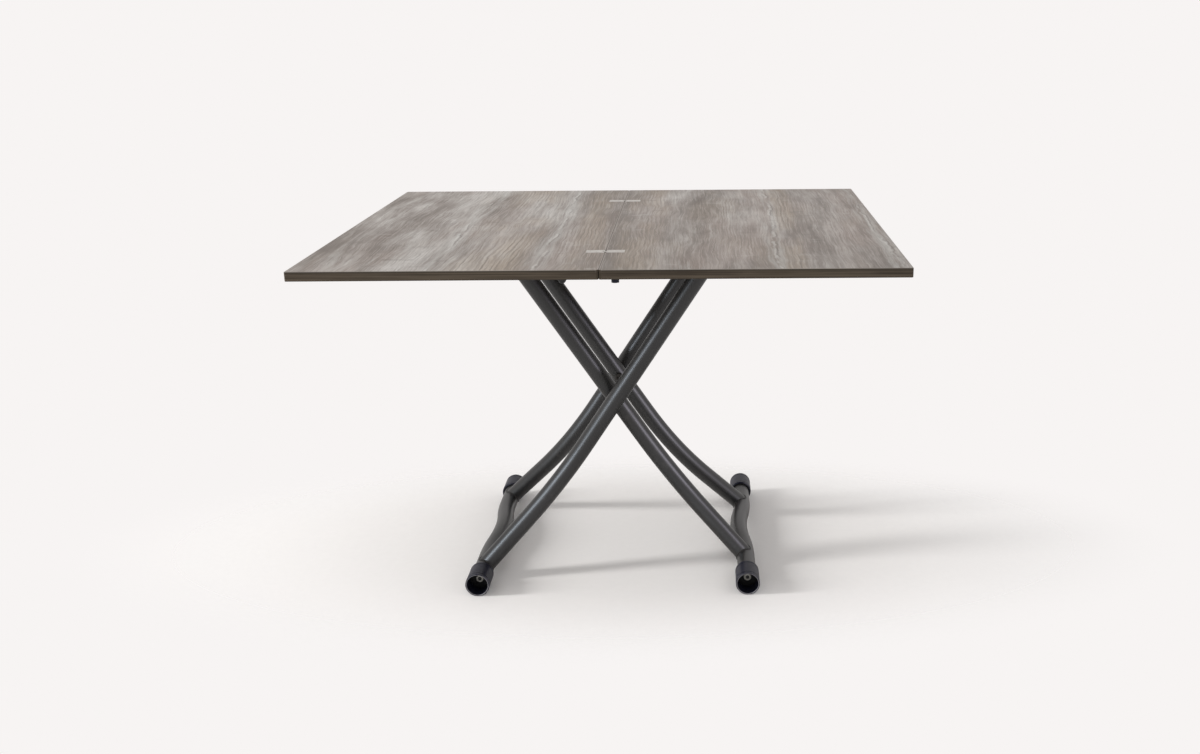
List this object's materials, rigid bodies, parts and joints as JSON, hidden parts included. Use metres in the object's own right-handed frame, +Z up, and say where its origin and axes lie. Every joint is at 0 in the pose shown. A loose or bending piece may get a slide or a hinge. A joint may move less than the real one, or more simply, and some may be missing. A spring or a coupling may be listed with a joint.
{
  "type": "convertible coffee dining table",
  "caption": "Lift-top table on crossed bent-tube legs: a book-fold wood-look top swivels and opens, and the scissor frame lowers from dining to coffee height.",
  "frame": {"origin": "on the floor, under the middle of the opened top", "axes": "+Z up, +Y along the seam between the leaves, +X across the seam towards the fixed leaf"},
  "size_m": [1.1404, 1, 0.75],
  "materials": {
    "oak_board": "grey-brown weathered oak facing, satin",
    "oak_edging": "dark grey-brown wood-look edging",
    "graphite_paint": "satin graphite powder coat",
    "black_plastic": "blue-black moulded plastic",
    "white_nylon": "natural nylon",
    "zinc_steel": "zinc-plated steel",
    "hinge_steel": "brushed nickel-plated steel",
    "rod_chrome": "polished hard chrome"
  },
  "bodies": {
    "right_sleeves": {"right_sleeve_front": "black_plastic", "right_sleeve_rear": "black_plastic"},
    "inner_frame": {"inner_leg_front": "graphite_paint", "inner_leg_rear": "graphite_paint", "inner_foot_bar": "graphite_paint", "inner_bar_plugs": "black_plastic", "inner_sleeve_screws": "zinc_steel", "inner_cross_tube": "graphite_paint", "inner_axle_bushes": "white_nylon", "inner_spring_lug": "graphite_paint", "spring_lug_pin": "zinc_steel", "inner_pivot_bushes": "graphite_paint"},
    "outer_frame": {"outer_leg_front": "graphite_paint", "outer_leg_rear": "graphite_paint", "outer_foot_bar": "graphite_paint", "outer_bar_plugs": "black_plastic", "outer_sleeve_screws": "zinc_steel", "outer_cross_tube": "graphite_paint", "outer_roller_axle": "zinc_steel", "outer_pivot_bosses": "graphite_paint", "pivot_bolts": "zinc_steel", "pivot_washers": "black_plastic"},
    "left_sleeve_front": {"left_sleeve_front": "black_plastic"},
    "left_sleeve_rear": {"left_sleeve_rear": "black_plastic"},
    "guide_roller_front": {"guide_roller_front": "white_nylon"},
    "guide_roller_rear": {"guide_roller_rear": "white_nylon"},
    "under_frame": {"rail_front": "graphite_paint", "rail_rear": "graphite_paint", "frame_cross_left": "graphite_paint", "frame_cross_right": "graphite_paint", "fixed_axle": "zinc_steel", "swivel_base_plate": "graphite_paint", "swivel_bearing": "white_nylon", "glide_pads": "white_nylon", "spring_bracket": "graphite_paint", "spring_bracket_pin": "zinc_steel", "spring_cylinder": "graphite_paint", "lever_bracket": "graphite_paint", "lever_pin": "zinc_steel"},
    "gas_rod": {"spring_rod": "rod_chrome"},
    "release_lever": {"release_lever": "zinc_steel", "lever_grip": "black_plastic"},
    "swivel_top": {"fixed_leaf": "oak_board", "fixed_leaf_edging": "oak_edging", "swivel_plate": "graphite_paint", "swivel_retainer": "zinc_steel", "swivel_screws": "zinc_steel", "fixed_hinge_plates": "hinge_steel", "fixed_hinge_screws": "hinge_steel", "fixed_hinge_pins": "hinge_steel", "catch_screws": "zinc_steel"},
    "leaf_catch_front": {"leaf_catch_front": "black_plastic"},
    "leaf_catch_rear": {"leaf_catch_rear": "black_plastic"},
    "hinge_links": {"hinge_links": "hinge_steel"},
    "flip_leaf": {"flip_leaf": "oak_board", "flip_leaf_edging": "oak_edging", "flip_hinge_plates": "hinge_steel", "flip_hinge_screws": "hinge_steel", "flip_hinge_pins": "hinge_steel"}
  },
  "joints": [
    {"name": "lift", "type": "hinge", "parent": "right_sleeves", "child": "inner_frame", "pos_m": [0.2803, 0, 0.0255], "axis": [0, -1, 0], "range_deg": [0, 41.25]},
    {"name": "scissor", "type": "hinge", "parent": "inner_frame", "child": "outer_frame", "pos_m": [-0.008, 0, 0.3803], "axis": [0, -1, 0], "range_deg": [-82.52, 0]},
    {"name": "level", "type": "hinge", "parent": "inner_frame", "child": "under_frame", "pos_m": [-0.22167, 0, 0.70008], "axis": [0, -1, 0], "range_deg": [-41.26, 0]},
    {"name": "left_front_roll", "type": "hinge", "parent": "outer_frame", "child": "left_sleeve_front", "pos_m": [-0.2963, -0.263, 0.0255], "axis": [0, 1, 0], "continuous": true},
    {"name": "left_rear_roll", "type": "hinge", "parent": "outer_frame", "child": "left_sleeve_rear", "pos_m": [-0.2963, 0.263, 0.0255], "axis": [0, 1, 0], "continuous": true},
    {"name": "front_roller_spin", "type": "hinge", "parent": "outer_frame", "child": "guide_roller_front", "pos_m": [0.20567, -0.17, 0.70008], "axis": [0, 1, 0], "continuous": true},
    {"name": "rear_roller_spin", "type": "hinge", "parent": "outer_frame", "child": "guide_roller_rear", "pos_m": [0.20567, 0.17, 0.70008], "axis": [0, 1, 0], "continuous": true},
    {"name": "spring_stroke", "type": "slide", "parent": "under_frame", "child": "gas_rod", "axis": [1, 0, 0], "range_m": [0, 0.04378]},
    {"name": "release", "type": "hinge", "parent": "under_frame", "child": "release_lever", "pos_m": [-0.092, -0.195, 0.68408], "axis": [-1, 0, 0], "range_deg": [0, 15], "stiffness_Nm_per_rad": 0.8, "springref_deg": -8.59},
    {"name": "swivel", "type": "hinge", "parent": "under_frame", "child": "swivel_top", "pos_m": [0.21754, 0.06771, 0.728], "axis": [0, 0, 1], "range_deg": [-90, 0]},
    {"name": "front_catch_turn", "type": "hinge", "parent": "swivel_top", "child": "leaf_catch_front", "pos_m": [0.029, -0.485, 0.724], "axis": [0, 0, 1], "range_deg": [0, 90]},
    {"name": "rear_catch_turn", "type": "hinge", "parent": "swivel_top", "child": "leaf_catch_rear", "pos_m": [0.029, 0.485, 0.724], "axis": [0, 0, -1], "range_deg": [0, 90]},
    {"name": "link_turn", "type": "hinge", "parent": "swivel_top", "child": "hinge_links", "pos_m": [0.00325, 0, 0.7482], "axis": [0, 1, 0], "range_deg": [0, 90]},
    {"name": "leaf_fold", "type": "hinge", "parent": "hinge_links", "child": "flip_leaf", "pos_m": [-0.00325, 0, 0.7482], "axis": [0, 1, 0], "range_deg": [0, 90]}
  ],
  "couplings": [
    {"joint": "scissor", "follows": "lift", "ratio": -2},
    {"joint": "level", "follows": "lift", "ratio": -1},
    {"joint": "spring_stroke", "follows": "lift", "m_per_rad": 0.06067}
  ]
}
